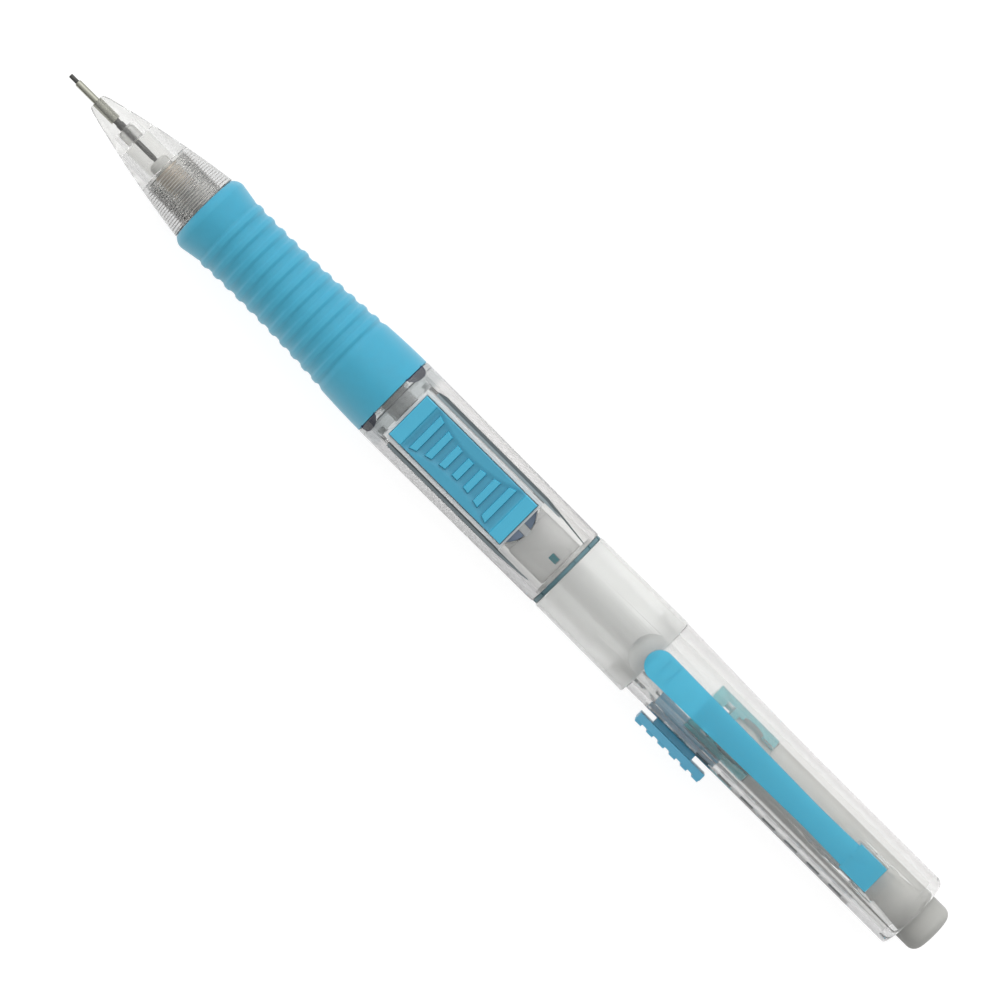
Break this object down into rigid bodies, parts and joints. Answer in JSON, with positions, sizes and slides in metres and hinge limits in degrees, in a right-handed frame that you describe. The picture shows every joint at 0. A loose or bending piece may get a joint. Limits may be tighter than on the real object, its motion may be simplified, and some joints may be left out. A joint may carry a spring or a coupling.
{
  "type": "mechanical pencil",
  "caption": "Side-click mechanical pencil: clear barrel, ribbed blue grip, thumb button, tinted pocket clip and a slide-out eraser.",
  "frame": {"origin": "centre of the lead's flat writing tip, on the pencil's axis", "axes": "+X along the barrel from the tip to the eraser, +Z towards the side with the thumb button and the pocket clip, the eraser's slide knob on the -Y side"},
  "size_m": [0.146, 0.0128, 0.0126],
  "materials": {
    "graphite": "dark grey polymer-bonded graphite, slight sheen",
    "sleeve_steel": "drawn stainless tube, fine satin",
    "spring_steel": "bright spring wire",
    "brass": "turned brass, thinly nickel-plated",
    "white_plastic": "natural white moulded plastic",
    "retainer_rubber": "soft translucent rubber",
    "clear_plastic": "polished clear polycarbonate",
    "milky_plastic": "lightly frosted clear plastic",
    "grip_rubber": "sky blue soft rubber, matte",
    "blue_plastic": "sky blue moulded plastic, satin",
    "blue_tint_plastic": "translucent blue moulded plastic, polished",
    "teal_tint_plastic": "translucent teal moulded plastic, polished",
    "dark_teal_plastic": "dark teal moulded plastic",
    "eraser_vinyl": "light grey vinyl, matte, lightly rubbed end"
  },
  "bodies": {
    "barrel": {"nose_cone": "clear_plastic", "lead_sleeve": "sleeve_steel", "lead_retainer": "retainer_rubber", "chuck_spring": "spring_steel", "front_barrel": "clear_plastic", "grip_sleeve": "grip_rubber", "joint_ring": "dark_teal_plastic", "mid_barrel": "milky_plastic", "tank_stopper": "milky_plastic", "rear_tube": "clear_plastic"},
    "button": {"button_carrier": "clear_plastic", "button_pad": "blue_plastic"},
    "feed": {"chuck": "white_plastic", "lead_tank": "milky_plastic", "cam_slider": "milky_plastic", "spare_lead_1": "graphite", "spare_lead_2": "graphite", "spare_lead_3": "graphite"},
    "ring": {"clutch_ring": "brass"},
    "working_lead": {"lead": "graphite"},
    "pocket_clip": {"clip": "blue_tint_plastic"},
    "eraser_unit": {"eraser_slider": "blue_plastic", "eraser_carrier": "teal_tint_plastic", "eraser": "eraser_vinyl"}
  },
  "joints": [
    {"name": "button_press", "type": "slide", "parent": "barrel", "child": "button", "axis": [0, 0, -1], "range_m": [0, 0.0012], "stiffness_N_per_m": 200, "springref_m": -0.001},
    {"name": "chuck_feed", "type": "slide", "parent": "barrel", "child": "feed", "axis": [-1, 0, 0], "range_m": [0, 0.0012], "deforming": ["chuck_spring"]},
    {"name": "ring_slide", "type": "slide", "parent": "barrel", "child": "ring", "axis": [-1, 0, 0], "range_m": [0, 0.0006]},
    {"name": "lead_feed", "type": "slide", "parent": "barrel", "child": "working_lead", "axis": [-1, 0, 0], "range_m": [0, 0.0006]},
    {"name": "clip_lift", "type": "hinge", "parent": "barrel", "child": "pocket_clip", "pos_m": [0.13385, 0, 0.005], "axis": [0, 1, 0], "range_deg": [0, 4], "stiffness_Nm_per_rad": 0.02, "springref_deg": -2.86},
    {"name": "eraser_feed", "type": "slide", "parent": "barrel", "child": "eraser_unit", "axis": [1, 0, 0], "range_m": [0, 0.022]}
  ],
  "couplings": [
    {"joint": "chuck_feed", "follows": "button_press", "ratio": 1},
    {"joint": "ring_slide", "follows": "button_press", "ratio": 0.5},
    {"joint": "lead_feed", "follows": "button_press", "ratio": 0.5}
  ]
}
